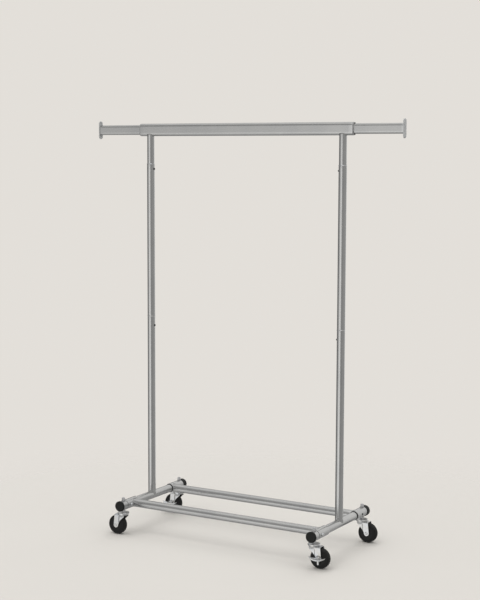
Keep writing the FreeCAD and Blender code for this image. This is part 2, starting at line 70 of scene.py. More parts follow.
POST_X = middle("right_lower_post", 0)
POST_R = (reach("right_lower_post", 1) - reach("right_lower_post", 1, -1)) / 2
BASE_Z = middle("front_rail", 2)
LOW_JOINT = reach("right_lower_post", 2)
HIGH_JOINT = reach("right_middle_post", 2)
RAIL_Z = middle("hanging_rail", 2)
RAIL_HALF = reach("hanging_rail", 0)
RAIL_H = reach("hanging_rail", 2) - reach("hanging_rail", 2, -1)
RAIL_D = reach("hanging_rail", 1) - reach("hanging_rail", 1, -1)
BAR_H = reach("right_pull_bar", 2) - reach("right_pull_bar", 2, -1)
BAR_D = reach("right_pull_bar", 1) - reach("right_pull_bar", 1, -1)
PLATE_BACK = reach("right_pull_bar", 0)
TUBE_END = reach("right_cross_tube", 1)
CROSS_R = 15.5 * MM
SLEEVE_R = 18.5 * MM
LONG_R = (reach("front_rail", 1) - reach("front_rail", 1, -1)) / 2
STUB_R = reach("right_rail_stub", 1)
STEM_Y = middle("rear_right_crown", 1)
WHEEL_R = middle("rear_right_wheel", 2)
FORK_TOP = reach("rear_right_fork", 2)
PIVOT_OUT = 22.6 * MM
PIVOT_Z = reach("front_right_brake_lever", 2) - 3.1 * MM
WALL = 1.5 * MM
THIN_WALL = 1.2 * MM
PLUG_R = 13.65 * MM
LOW_PLUG = 85 * MM
HIGH_PLUG = 62 * MM
JOINT_GAP = 0.4 * MM
BUTTON_RISE = 8 * MM
BUTTON_HOLE_R = 4.3 * MM
LOCK_HOLE_R = 6.3 * MM
FORK_SHEET = 2 * MM
LEVER_SHEET = 1.8 * MM
STEM_BORE_R = 5.1 * MM
COLLAR_WALL = 2.2 * MM
SEAM_POINTS = 160
SMOOTH_ANGLE = math.radians(38)


# ------------------------------------------------------------ surfaces

def circle(radius, count=96):
    """Outline of a round section: a function from an inward offset to its points."""
    angle = np.linspace(0, 2 * np.pi, count, endpoint=False)
    return lambda inset: (radius - inset)[..., None, None] * np.stack([np.cos(angle), np.sin(angle)], -1)


def oval(height, depth, count=40):
    """Outline of a flat-sided oval: two half circles joined by straight sides, as a function of inset."""
    half, flat = depth / 2, (height - depth) / 2
    turn = np.linspace(0, np.pi, count)
    side = np.linspace(0, 1, 13)[1:-1]

    def points(inset):
        r = (half - inset)[..., None]
        top = np.stack([r * np.cos(turn), flat + r * np.sin(turn)], -1)
        left = np.stack([-r + 0 * side, flat - 2 * flat * side + 0 * r], -1)
        return np.concatenate([top, left, -top, -left], axis=-2)

    return points


def place(across, along, axis, centre):
    """Puts section points and their distance along an axis into X, Y, Z about a centre."""
    p, q = across[..., 0], across[..., 1]
    order = {"X": (along, p, q), "Y": (q, along, p), "Z": (p, q, along)}[axis]
    return np.stack(np.broadcast_arrays(*order), -1) + np.asarray(centre, float)


def walled(outline, wall, low, high, axis, centre, rim=0.35 * MM, rows=24, marks=(),
           about=None):
    """A tube with a bore. A closed loop runs along the outer wall, over a rounded rim, back along
    the bore and over the other rim; the loop is carried round the outline. low and high are places
    along the axis, or functions of the section's points where an end is coped. marks are places
    that need finer rows, as where a hole is drilled, and about gives the rough length where an end is
    coped."""
    turn = np.linspace(0, np.pi / 2, 5)
    fine = [np.linspace(m - 7 * MM, m + 7 * MM, 15) for m in marks]
    if about is None:
        about = (0.0, 1.0) if callable(low) or callable(high) else (low, high)
    length = about[1] - about[0]
    shares = np.unique(np.concatenate([np.linspace(0, 1, rows)] + [(f - about[0]) / length for f in fine]))
    ends = np.stack([rim * (1 - np.sin(turn)), rim * (1 - np.cos(turn))], -1)
    # each row: inset from the outer wall, share of the length, extra distance from the end
    outer = np.stack([0 * shares, shares, 0 * shares], -1)
    top = np.stack([ends[:, 1], 0 * turn + 1, -ends[:, 0]], -1)
    top_in = np.stack([wall - ends[::-1, 1], 0 * turn + 1, -ends[::-1, 0]], -1)
    inner = np.stack([0 * shares + wall, shares[::-1], 0 * shares], -1)
    foot = top_in * [1, 0, -1]
    foot[:, 0] = wall - ends[:, 1]
    foot[:, 2] = ends[:, 0]
    foot_out = np.stack([ends[::-1, 1], 0 * turn, ends[::-1, 0]], -1)
    body = (shares > 1.5 * rim / length) & (shares < 1 - 1.5 * rim / length)
    loop = np.concatenate([outer[body], top, top_in, inner[body[::-1]], foot, foot_out])
    across = outline(loop[:, 0])
    start = low(across) if callable(low) else low + 0 * across[..., 0]
    stop = high(across) if callable(high) else high + 0 * across[..., 0]
    along = start + (stop - start) * loop[:, 1][:, None] + loop[:, 2][:, None]
    return place(across, along, axis, centre)


def rounded(profile, radius, steps=5):
    """A profile whose inner corners are rounded: each is replaced by a quadratic curve that starts
    and ends at most `radius` away from it."""
    points = np.asarray(profile, float)
    t = np.linspace(0, 1, steps)[:, None]
    made = [points[:1]]
    for before, corner, after in zip(points[:-2], points[1:-1], points[2:]):
        back, on = before - corner, after - corner
        a = corner + back * min(0.45, radius / max(np.linalg.norm(back), 1e-9))
        b = corner + on * min(0.45, radius / max(np.linalg.norm(on), 1e-9))
        made.append((1 - t) ** 2 * a + 2 * t * (1 - t) * corner + t ** 2 * b)
    return np.concatenate(made + [points[-1:]])


def turned(profile, centre, axis=(0, 0, 1), radius=0.4 * MM, count=64):
    """A turned solid: (radius, height) pairs in millimetres, corners rounded, carried in a circle
    round the axis through the centre."""
    shape = rounded(np.asarray(profile, float) * MM, radius)
    w = np.asarray(axis, float) / np.linalg.norm(axis)
    u = np.cross(w, [0, 1, 0] if abs(w[1]) < 0.9 else [1, 0, 0])
    u /= np.linalg.norm(u)
    v = np.cross(w, u)
    angle = np.linspace(0, 2 * np.pi, count, endpoint=False)[None, :, None]
    ring = np.cos(angle) * u + np.sin(angle) * v
    return np.asarray(centre, float) + shape[:, None, :1] * ring + shape[:, None, 1:] * w


def bead(path, out, up, size, ripples):
    """A weld bead: a small round section carried along a closed path, swelling in even ripples."""
    share = np.linspace(0, 2 * np.pi, len(path), endpoint=False)
    swell = size * (1 + 0.10 * np.cos(ripples * share) + 0.07 * np.sin(5 * share + 0.6))
    turn = np.linspace(0, 2 * np.pi, 12, endpoint=False)[None, :, None]
    ring = np.cos(turn) * out[:, None, :] + np.sin(turn) * up[:, None, :]
    return path[:, None, :] + swell[:, None, None] * ring


# ------------------------------------------------------------ meshes

def grid_faces(rows, columns, wrap_rows, wrap_columns, first):
    """The four-sided faces between the neighbours of a grid of points, numbered from `first`."""
    r = np.arange(rows if wrap_rows else rows - 1)[:, None]
    c = np.arange(columns if wrap_columns else columns - 1)[None, :]
    r2, c2 = (r + 1) % rows, (c + 1) % columns
    quads = np.stack([r * columns + c, r * columns + c2, r2 * columns + c2, r2 * columns + c], -1)
    return quads.reshape(-1, 4) + first


def volume(points, faces):
    """Signed volume inside a shell, positive where its faces point outwards."""
    a, b, c, d = (points[faces[:, i]] for i in range(4))
    return float(np.sum(a * np.cross(b, c)) + np.sum(a * np.cross(c, d))) / 6


def shell(points, kind):
    """A shell's flat list of points and its faces, pointing outwards. kind is "ring" where the
    surface closes both ways, "spun" where the rows run from pole to pole, and "swept" where the
    rows are closed loops whose first and last are filled in."""
    rows, columns = points.shape[:2]
    flat = points.reshape(-1, 3)
    if kind == "swept":
        ends = [points[0].mean(0), points[-1].mean(0)]
        flat = np.concatenate([np.repeat(ends[:1], columns, 0), flat, np.repeat(ends[1:], columns, 0)])
        rows += 2
    faces = grid_faces(rows, columns, kind == "ring", True, 0)
    if volume(flat, faces) < 0:
        faces = faces[:, ::-1]
    return flat, faces


def piece(name, shells, material, body, stands_for=(), tints=None):
    """A finished piece: its shells become one mesh, its poles are merged, and it rides on a body."""
    points, faces, first = [], [], 0
    for grid, kind in shells:
        flat, quads = shell(grid, kind)
        points.append(flat)
        faces.append(quads + first)
        first += len(flat)
    mesh = bpy.data.meshes.new(name)
    mesh.from_pydata(np.concatenate(points).tolist(), [], np.concatenate(faces).tolist())
    work = bmesh.new()
    work.from_mesh(mesh)
    bmesh.ops.remove_doubles(work, verts=work.verts, dist=2e-6)
    bmesh.ops.dissolve_degenerate(work, edges=work.edges, dist=1e-7)
    work.to_mesh(mesh)
    work.free()
    return finished(mesh, name, material, body, stands_for, tints)


def finished(mesh, name, material, body, stands_for, tints):
    """Shades a mesh, gives it its material, parents it to its body, and hides what it stands for."""
    mesh.shade_smooth()
    mesh.set_sharp_from_angle(angle=SMOOTH_ANGLE)
    made = bpy.data.objects.new(name, mesh)
    bpy.context.scene.collection.objects.link(made)
    mesh.materials.clear()
    mesh.materials.append(material)
    if tints is not None:
        places = np.zeros(len(mesh.vertices) * 3)
        mesh.vertices.foreach_get("co", places)
        layer = mesh.attributes.new("wear", "FLOAT", "POINT")
        layer.data.foreach_set("value", tints(places.reshape(-1, 3)).astype(np.float32))
    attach(made, body)
    if stands_for:
        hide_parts(*stands_for)
    return made


def drilled(made, holes):
    """Drills round holes, each a point, a direction and a radius, through a piece's wall."""
    for centre, direction, radius in holes:
        drill = turned([(0, 0), (radius / MM, 0), (radius / MM, 30), (0, 30)], centre, direction, 0, 40)
        flat, faces = shell(drill, "spun")
        bit = bpy.data.meshes.new("drill")
        bit.from_pydata(flat.tolist(), [], faces.tolist())
        work = bmesh.new()
        work.from_mesh(bit)
        bmesh.ops.remove_doubles(work, verts=work.verts, dist=1e-6)
        bmesh.ops.recalc_face_normals(work, faces=work.faces)
        work.to_mesh(bit)
        work.free()
        tool = bpy.data.objects.new("drill", bit)
        bpy.context.scene.collection.objects.link(tool)
        cut = made.modifiers.new("cut", "BOOLEAN")
        cut.operation, cut.solver, cut.object = "DIFFERENCE", "EXACT", tool
        bpy.context.view_layer.update()
        graph = bpy.context.evaluated_depsgraph_get()
        mesh = bpy.data.meshes.new_from_object(made.evaluated_get(graph))
        made.modifiers.remove(cut)
        made.data = mesh
        bpy.data.objects.remove(tool)
    made.data.name = made.name
    made.data.set_sharp_from_angle(angle=SMOOTH_ANGLE)


def thick(middle_sheet, thickness):
    """A pressed plate: each row of points of the middle sheet becomes a closed loop that runs along
    one face, round the edge, back along the other face and round the other edge."""
    along = np.gradient(middle_sheet, axis=0)
    across = np.gradient(middle_sheet, axis=1)
    normal = np.cross(along, across)
    length = np.linalg.norm(normal, axis=2, keepdims=True)
    unit = normal / np.maximum(length, 1e-15)
    centre_column = normal.shape[1] // 2
    # where a row shrinks to a point its normal is taken from the middle column
    steady = unit[:, centre_column:centre_column + 1]
    normal = np.where(length > 1e-13, unit, steady)
    span = np.linalg.norm(middle_sheet[:, -1] - middle_sheet[:, 0], axis=1)[:, None, None]
    half = np.minimum(thickness / 2, np.maximum(span / 2.2, 1e-6))
    outward = middle_sheet[:, -1:] - middle_sheet[:, :1]
    outward = outward / np.maximum(np.linalg.norm(outward, axis=2, keepdims=True), 1e-9)
    turn = np.linspace(0, np.pi, 7)[1:-1][None, :, None]
    inset = np.linspace(-1, 1, middle_sheet.shape[1])[None, :, None] * half
    flat = middle_sheet - outward * inset
    first, last = flat[:, :1], flat[:, -1:]
    edge = last + half * (normal[:, -1:] * np.cos(turn) + outward * np.sin(turn))
    other = first - half * (normal[:, :1] * np.cos(turn) + outward * np.sin(turn))
    return np.concatenate([flat + normal * half, edge, (flat - normal * half)[:, ::-1], other], axis=1)


def hexagon_nut(x, y, low, height, flats, bore):
    """A hexagonal nut. Each ring of points is the smaller of the hexagon's radius at that angle and
    the radius of the cone that chamfers its ends; the bore closes the loop."""
    angle = np.linspace(0, 2 * np.pi, 96, endpoint=False)
    hexagon = flats / 2 / np.cos(angle % (np.pi / 3) - np.pi / 6)
    rows = [(bore, 0), (0.97 * flats / 2, 0), (1.03 * flats / 2, 0.10), (1.16 * flats / 2, 0.16),
            (1.16 * flats / 2, 0.84), (1.03 * flats / 2, 0.92), (0.97 * flats / 2, 1.0), (bore, 1.0)]
    radius = np.stack([np.minimum(hexagon, limit) for limit, _ in rows])
    radius[0] = radius[-1] = bore
    height_at = np.array([low + share * height for _, share in rows])[:, None]
    across, along = x + radius * np.cos(angle), y + radius * np.sin(angle)
    return np.stack(np.broadcast_arrays(across, along, height_at), -1)


# ------------------------------------------------------------ finishes

class Finish:
    """One procedural material: a shader and short calls that feed its sockets from patterns."""

    def __init__(self, name, metallic, roughness, colour):
        self.material = bpy.data.materials.new(name)
        self.material.use_nodes = True
        self.tree = self.material.node_tree
        self.shader = self.tree.nodes["Principled BSDF"]
        self.set("Metallic", metallic)
        self.set("Roughness", roughness)
        self.set("Base Color", (*colour, 1.0))
        self.place = self.node("ShaderNodeTexCoord").outputs["Object"]

    def set(self, socket, value):
        """Gives one of the shader's own sockets a plain value."""
        self.shader.inputs[socket].default_value = value

    def node(self, kind, **settings):
        """Adds a node and sets its named properties."""
        made = self.tree.nodes.new(kind)
        for key, value in settings.items():
            setattr(made, key, value)
        return made

    def join(self, source, target):
        """Links an output to an input."""
        self.tree.links.new(source, target)

    def noise(self, scale, detail=3.0, stretch=(1, 1, 1), kind="ShaderNodeTexNoise"):
        """Noise on Object coordinates, stretched along each axis."""
        mapping = self.node("ShaderNodeMapping")
        mapping.inputs["Scale"].default_value = stretch
        self.join(self.place, mapping.inputs["Vector"])
        texture = self.node(kind)
        texture.inputs["Scale"].default_value = scale
        if "Detail" in texture.inputs:
            texture.inputs["Detail"].default_value = detail
        self.join(mapping.outputs["Vector"], texture.inputs["Vector"])
        return texture.outputs["Distance" if kind.endswith("Voronoi") else 0]

    def ramp(self, source, stops):
        """A colour ramp from pairs of place and colour, or place and grey level."""
        made = self.node("ShaderNodeValToRGB")
        bar = made.color_ramp.elements
        while len(bar) < len(stops):
            bar.new(0.5)
        for element, (at, level) in zip(bar, stops):
            element.position = at
            element.color = (level, level, level, 1) if np.isscalar(level) else (*level, 1)
        self.join(source, made.inputs["Fac"])
        return made.outputs["Color"]

    def mix(self, a, b, share, blend="MIX"):
        """Mixes two colours by a share, which may be a number or an output."""
        made = self.node("ShaderNodeMix", data_type="RGBA", blend_type=blend)
        for value, socket in ((share, made.inputs[0]), (a, made.inputs[6]), (b, made.inputs[7])):
            if isinstance(value, bpy.types.NodeSocket):
                self.join(value, socket)
            else:
                socket.default_value = value
        return made.outputs[2]

    def feed(self, source, socket):
        """Feeds one of the shader's sockets from a pattern."""
        self.join(source, self.shader.inputs[socket])

    def bump(self, source, strength, distance):
        """Adds a bump from a pattern."""
        made = self.node("ShaderNodeBump")
        made.inputs["Strength"].default_value = strength
        made.inputs["Distance"].default_value = distance
        self.join(source, made.inputs["Height"])
        self.join(made.outputs["Normal"], self.shader.inputs["Normal"])

    def attribute(self, name):
        """The value of a named attribute of the mesh."""
        return self.node("ShaderNodeAttribute", attribute_name=name).outputs["Fac"]


def satin_chrome(axis):
    """Tube plated in satin chrome: fine drawn lines along the tube, cloudy tone, faint marks."""
    f = Finish("satin_chrome_along_" + axis.lower(), 1.0, 0.26, (0.62, 0.62, 0.615))
    lines = [3.0 if letter == axis else 240.0 for letter in "XYZ"]
    drawn = f.noise(9.0, 2.0, lines)
    cloud = f.noise(7.0, 4.0)
    marks = f.noise(60.0, 6.0, [0.4 if letter == axis else 2.0 for letter in "XYZ"])
    tone = f.ramp(cloud, [(0.30, (0.575, 0.578, 0.580)), (0.55, (0.630, 0.630, 0.625)),
                          (0.8, (0.665, 0.662, 0.652))])
    fine = f.ramp(drawn, [(0.35, 0.97), (0.65, 1.0)])
    f.feed(f.mix(tone, fine, 1.0, "MULTIPLY"), "Base Color")
    rough = f.ramp(marks, [(0.25, 0.22), (0.6, 0.25), (0.78, 0.30)])
    f.feed(f.mix(rough, f.ramp(drawn, [(0.3, 0.21), (0.7, 0.29)]), 0.45), "Roughness")
    f.bump(drawn, 0.01, 0.0001)
    return f.material


def bright_zinc():
    """Pressed steel plated in bright zinc: a mottled crystal pattern, faint blue and straw tints."""
    f = Finish("bright_zinc", 1.0, 0.24, (0.78, 0.79, 0.80))
    crystals = f.noise(420.0, 2.0, kind="ShaderNodeTexVoronoi")
    cloud = f.noise(55.0, 4.0)
    tint = f.ramp(cloud, [(0.3, (0.72, 0.745, 0.78)), (0.52, (0.80, 0.80, 0.80)),
                          (0.75, (0.80, 0.785, 0.735))])
    f.feed(f.mix(tint, f.ramp(crystals, [(0.0, 0.90), (0.6, 1.0)]), 0.8, "MULTIPLY"), "Base Color")
    f.feed(f.ramp(cloud, [(0.25, 0.20), (0.75, 0.38)]), "Roughness")
    f.bump(f.noise(900.0, 3.0), 0.06, 0.0003)
    return f.material


def nut_zinc():
    """Turned and threaded steel in dull zinc, darker where fingers and spanners have been."""
    f = Finish("dull_zinc", 0.7, 0.36, (0.66, 0.66, 0.66))
    wear = f.noise(160.0, 5.0)
    f.feed(f.ramp(wear, [(0.3, (0.55, 0.55, 0.56)), (0.6, (0.72, 0.72, 0.73))]), "Base Color")
    f.feed(f.ramp(wear, [(0.3, 0.46), (0.7, 0.28)]), "Roughness")
    f.bump(f.noise(1200.0, 3.0), 0.08, 0.0003)
    return f.material


def dark_steel():
    """Blackened steel, polished grey where it is rubbed."""
    f = Finish("blackened_steel", 0.85, 0.38, (0.07, 0.07, 0.074))
    rub = f.noise(230.0, 5.0)
    f.feed(f.ramp(rub, [(0.35, (0.045, 0.045, 0.048)), (0.72, (0.16, 0.16, 0.165))]), "Base Color")
    f.feed(f.ramp(rub, [(0.3, 0.44), (0.75, 0.27)]), "Roughness")
    f.bump(f.noise(1500.0, 2.0), 0.08, 0.0003)
    return f.material


def spring_steel():
    """Tempered strip with a straw to blue heat tint."""
    f = Finish("tempered_spring", 1.0, 0.32, (0.42, 0.43, 0.45))
    heat = f.noise(70.0, 3.0)
    f.feed(f.ramp(heat, [(0.3, (0.34, 0.37, 0.46)), (0.55, (0.45, 0.45, 0.45)), (0.8, (0.50, 0.43, 0.33))]),
           "Base Color")
    f.feed(f.ramp(f.noise(400.0, 4.0), [(0.3, 0.25), (0.7, 0.42)]), "Roughness")
    return f.material


def weld_metal():
    """A plated weld bead: a fine grain that also raises its bump; its brighter specks are smoother, its
    darker ones rougher.
    """
    f = Finish("plated_weld", 1.0, 0.38, (0.55, 0.55, 0.55))
    grain = f.noise(650.0, 4.0)
    f.feed(f.ramp(grain, [(0.3, (0.40, 0.40, 0.405)), (0.7, (0.62, 0.62, 0.61))]), "Base Color")
    f.feed(f.ramp(grain, [(0.3, 0.50), (0.7, 0.30)]), "Roughness")
    f.bump(grain, 0.25, 0.0006)
    return f.material


def black_plastic():
    """Moulded black plastic: a fine even grain, slightly greyer where it has been scuffed."""
    f = Finish("black_moulding", 0.0, 0.46, (0.008, 0.0085, 0.008))
    f.set("Specular IOR Level", 0.3)
    scuff = f.noise(120.0, 6.0)
    f.feed(f.ramp(scuff, [(0.45, (0.0072, 0.0078, 0.0072)), (0.75, (0.013, 0.0135, 0.0125))]), "Base Color")
    f.feed(f.ramp(scuff, [(0.35, 0.40), (0.75, 0.58)]), "Roughness")
    f.bump(f.noise(2600.0, 2.0), 0.22, 0.0002)
    return f.material


def wheel_rubber():
    """Solid black wheel: smooth sides, and a tread that is greyed with floor dust."""
    f = Finish("wheel_rubber", 0.0, 0.5, (0.006, 0.006, 0.006))
    f.set("Specular IOR Level", 0.3)
    speck = f.noise(260.0, 6.0)
    side = f.ramp(speck, [(0.4, (0.005, 0.0052, 0.005)), (0.75, (0.010, 0.010, 0.0095))])
    dust = f.ramp(f.noise(90.0, 5.0), [(0.35, (0.011, 0.011, 0.0105)), (0.7, (0.024, 0.0235, 0.022))])
    f.feed(f.mix(side, dust, f.attribute("wear")), "Base Color")
    smooth, dull = f.ramp(speck, [(0.3, 0.36), (0.7, 0.50)]), (0.72, 0.72, 0.72, 1)
    f.feed(f.mix(smooth, dull, f.attribute("wear")), "Roughness")
    f.bump(f.noise(1800.0, 3.0), 0.18, 0.0002)
    return f.material


def pale_plastic():
    """Milky light grey plastic that lets a little light in."""
    f = Finish("milky_plastic", 0.0, 0.32, (0.60, 0.61, 0.61))
    f.set("Subsurface Weight", 0.25)
    f.set("Subsurface Radius", (0.004, 0.004, 0.004))
    f.set("Transmission Weight", 0.12)
    haze = f.noise(45.0, 4.0)
    f.feed(f.ramp(haze, [(0.3, (0.56, 0.57, 0.575)), (0.7, (0.66, 0.665, 0.66))]), "Base Color")
    f.feed(f.ramp(f.noise(300.0, 4.0), [(0.3, 0.26), (0.7, 0.42)]), "Roughness")
    f.bump(f.noise(1400.0, 2.0), 0.08, 0.0002)
    return f.material


def grey_plastic():
    """Grey slide plastic, waxy, with faint rub marks along the rail."""
    f = Finish("waxy_grey_plastic", 0.0, 0.42, (0.36, 0.36, 0.36))
    rub = f.noise(30.0, 5.0, (1, 14, 14))
    f.feed(f.ramp(rub, [(0.3, (0.30, 0.30, 0.305)), (0.7, (0.42, 0.42, 0.415))]), "Base Color")
    f.feed(f.ramp(rub, [(0.3, 0.34), (0.7, 0.52)]), "Roughness")
    f.bump(f.noise(1600.0, 2.0), 0.12, 0.0002)
    return f.material


CHROME = {axis: satin_chrome(axis) for axis in "XYZ"}
ZINC, NUT_ZINC, DARK_STEEL, SPRING = bright_zinc(), nut_zinc(), dark_steel(), spring_steel()
WELD, BLACK, RUBBER = weld_metal(), black_plastic(), wheel_rubber()
PALE, GREY = pale_plastic(), grey_plastic()


# ------------------------------------------------------------ base

def over_cross(r):
    """Height of the top of the cross tube above a point that is r out to the side."""
    return BASE_Z + np.sqrt(np.maximum(CROSS_R ** 2 - r ** 2, 0))


def lock_facing(side):
    """The point and direction of a base lock button's axis, from its joint."""
    joint = next(j for j in frame["joints"] if j["name"] == side + "_lock_button_press")
    direction = np.array(joint["axis"], float)
    y = middle(side + "_lock_button", 1)
    return np.array([SIDES[side] * POST_X, y, BASE_Z]), direction


def build_base():
    """Long rails, cross tubes, sleeves, collars, caps, rivets and lock buttons."""
    for end in ENDS:
        y = middle(end + "_rail", 1)

        def low(a):
            return -POST_X + np.sqrt(SLEEVE_R ** 2 - a[..., 1] ** 2)

        def high(a):
            return POST_X - np.sqrt(SLEEVE_R ** 2 - a[..., 1] ** 2)

        rail = walled(circle(LONG_R), WALL, low, high, "X", (0, y, BASE_Z), rim=0.2 * MM, rows=40)
        piece(end + "_rail_tube", [(rail, "ring")], CHROME["X"], "frame", [end + "_rail"])
        turn = np.linspace(0, 2 * np.pi, SEAM_POINTS, endpoint=False)
        out = np.stack([0 * turn, np.cos(turn), np.sin(turn)], 1)
        lengthways = np.tile([1.0, 0, 0], (SEAM_POINTS, 1))
        beads = []
        for s in SIDES.values():
            seam = np.sqrt(SLEEVE_R ** 2 - (LONG_R * np.sin(turn)) ** 2)
            path = np.stack([s * (POST_X - seam), y + LONG_R * out[:, 1], BASE_Z + LONG_R * out[:, 2]], 1)
            beads.append((bead(path, out, lengthways, 1.3 * MM, 34), "ring"))
        piece(end + "_rail_weld", beads, WELD, "frame")
    for side, s in SIDES.items():
        x = s * POST_X
        centre = (x, 0, BASE_Z)
        tube = walled(circle(CROSS_R), WALL, -TUBE_END, TUBE_END, "Y", centre, rows=40)
        piece(side + "_cross_bar", [(tube, "ring")], CHROME["Y"], "frame",
              [side + "_cross_tube"])
        point, facing = lock_facing(side)
        for end in ENDS:
            node = f"{end}_{side}_sleeve"
            start, stop = reach(node, 1, -1), reach(node, 1)
            marks = (point[1],) if end == "front" else ()
            tube = walled(circle(SLEEVE_R, 120), WALL, start, stop, "Y", centre, marks=marks)
            made = piece(node + "_tube", [(tube, "ring")], CHROME["Y"], "frame", [node])
            if end == "front":
                drilled(made, [(point, facing, LOCK_HOLE_R)])
            # a rear cap has a skirt over its sleeve, a front one stops against the collar
            rim = [(18.5, 0), (18.5, -12.5), (19.6, -12.5), (20.3, -11.7)]
            if end == "front":
                rim = [(19.6, 0), (20.3, 0.8)]
            face = [(20.3, 6.6), (19.4, 8.0), (18.2, 8.5), (17.6, 8.45), (17.2, 8.75), (12, 9.4),
                    (6, 9.85), (0, 10.0)]
            cap = [(0, -8), (14.0, -8), (14.0, 0)] + rim + face
            direction = ENDS[end]
            cap_grid = turned(cap, (x, direction * TUBE_END, BASE_Z), (0, direction, 0), 0.7 * MM, 96)
            piece(f"{end}_{side}_end_cap", [(cap_grid, "spun")], BLACK, "frame",
                  [f"{end}_{side}_cap"])
        dome = [(0, 11), (6, 11), (6, 20.6), (5.6, 22.2), (4.4, 23.6), (2.5, 24.3), (0, 24.5)]
        button = turned(dome, point, facing, 0.5 * MM, 48)
        body = side + "_lock_button"
        piece(side + "_lock_knob", [(button, "spun")], ZINC, body, [body])
    collar_in, collar_out = reach("front_collars", 1), reach("front_collars", 1, -1)
    rings = [(walled(circle(reach("front_collars", 2) - BASE_Z), COLLAR_WALL, collar_out, collar_in, "Y",
                     (s * POST_X, 0, BASE_Z)), "ring") for s in SIDES.values()]
    piece("front_collar_rings", rings, CHROME["Y"], "frame", ["front_collars"])
    head = [(0, -1.5), (2.0, -1.5), (2.0, 3.0), (4.5, 3.0), (4.2, 3.7), (2.6, 4.4), (1.0, 4.5), (0.8, 4.1),
            (0, 4.1)]
    y = middle("sleeve_rivets", 1)
    rivets = [(turned(head, (s * (POST_X + CROSS_R), y, BASE_Z), (s, 0, 0), 0.3 * MM, 40), "spun")
              for s in SIDES.values()]
    piece("sleeve_rivet_heads", rivets, DARK_STEEL, "frame", ["sleeve_rivets"])


# ------------------------------------------------------------ uprights

def upright_tube(side, name, shells, node, holes):
    """One length of an upright, with its plug where it has one, drilled for the snap buttons."""
    made = piece(f"{side}_{name}", [(grid, "ring") for grid in shells], CHROME["Z"], "frame",
                 [f"{side}_{node}"])
    drilled(made, holes)


def build_uprights():
    """Three tube lengths on each side, their joints, welds and snap buttons."""
    stub_top = reach("right_rail_stub", 2)
    round_z = RAIL_Z - (RAIL_H - RAIL_D) / 2

    def under_rail(a):
        y = np.minimum(np.abs(a[..., 1]), RAIL_D / 2)
        return np.minimum(round_z - np.sqrt((RAIL_D / 2) ** 2 - y ** 2), stub_top)

    turn = np.linspace(0, 2 * np.pi, SEAM_POINTS, endpoint=False)
    out = np.stack([np.cos(turn), np.sin(turn), 0 * turn], 1)
    upward = np.tile([0.0, 0, 1.0], (SEAM_POINTS, 1))
    for side, s in SIDES.items():
        x = s * POST_X
        centre = (x, 0, 0)
        low_button = middle(side + "_lower_snap_button", 2) + BUTTON_RISE
        high_button = middle(side + "_upper_snap_button", 2) + BUTTON_RISE
        low_hole = ((x, 0, low_button), (-s, 0, 0), BUTTON_HOLE_R)
        high_hole = ((x, 0, high_button), (-s, 0, 0), BUTTON_HOLE_R)

        def foot(a):
            return over_cross(a[..., 0])

        lower = walled(circle(POST_R), THIN_WALL, foot, LOW_JOINT, "Z", centre, rim=0.55 * MM, rows=60,
                       marks=(low_button,), about=(BASE_Z + CROSS_R, LOW_JOINT))
        upright_tube(side, "lower_post_tube", [lower], "lower_post", [low_hole])
        upper = walled(circle(POST_R), THIN_WALL, LOW_JOINT + JOINT_GAP, HIGH_JOINT, "Z", centre,
                       rim=0.55 * MM, rows=60, marks=(high_button,))
        plug = walled(circle(PLUG_R), THIN_WALL, LOW_JOINT - LOW_PLUG, LOW_JOINT + 4 * MM, "Z", centre,
                      marks=(low_button,))
        upright_tube(side, "middle_post_tube", [upper, plug], "middle_post", [low_hole, high_hole])
        stub = walled(circle(STUB_R), THIN_WALL, HIGH_JOINT + JOINT_GAP, under_rail, "Z", centre,
                      rim=0.3 * MM)
        plug = walled(circle(PLUG_R), THIN_WALL, HIGH_JOINT - HIGH_PLUG, HIGH_JOINT + 3 * MM, "Z", centre,
                      marks=(high_button,))
        upright_tube(side, "rail_stub_tube", [stub, plug], "rail_stub", [high_hole])
        low_ring, high_ring = POST_R * out, STUB_R * out
        foot_seam = low_ring + np.stack([x + 0 * turn, 0 * turn, over_cross(low_ring[:, 0])], 1)
        stub_seam = high_ring + np.stack([x + 0 * turn, 0 * turn, under_rail(high_ring)], 1)
        for name, seam, ripples in (("foot_weld", foot_seam, 30), ("stub_weld", stub_seam, 28)):
            piece(f"{side}_{name}", [(bead(seam, out, upward, 1.1 * MM, ripples), "ring")], WELD, "frame")
        for level, z in (("lower", LOW_JOINT), ("upper", HIGH_JOINT)):
            # a thin bright ring stands at the mouth of the outer tube
            mouth = [(14.5, -3.4), (15.1, -3.4), (15.7, -3.2), (15.8, -2.7), (15.2, -0.3), (14.9, 0),
                     (14.5, 0), (14.5, -3.4)]
            ring = turned(mouth, (x, 0, z), (0, 0, 1), 0.1 * MM, 96)
            piece(f"{side}_{level}_mouth_ring", [(ring, "spun")], ZINC, "frame")
        for level, z in (("lower", low_button), ("upper", high_button)):
            body = f"{side}_{level}_snap_button"
            dome = [(0, 9), (4, 9), (4, 16.4), (3.6, 17.5), (2.6, 18.5), (1.2, 18.9), (0, 19.0)]
            knob = turned(dome, (x, 0, z), (-s, 0, 0), 0.4 * MM, 40)
            rows = np.linspace(z - 22 * MM, z + 6 * MM, 12)[:, None]
            columns = np.linspace(-4 * MM, 4 * MM, 7)[None, :]
            leaf = np.stack(np.broadcast_arrays(x - s * 8.6 * MM, columns, rows), -1)
            piece(body + "_dome", [(knob, "spun"), (thick(leaf, 0.8 * MM), "swept")], DARK_STEEL, body,
                  [body])


# ------------------------------------------------------------ hanging rail

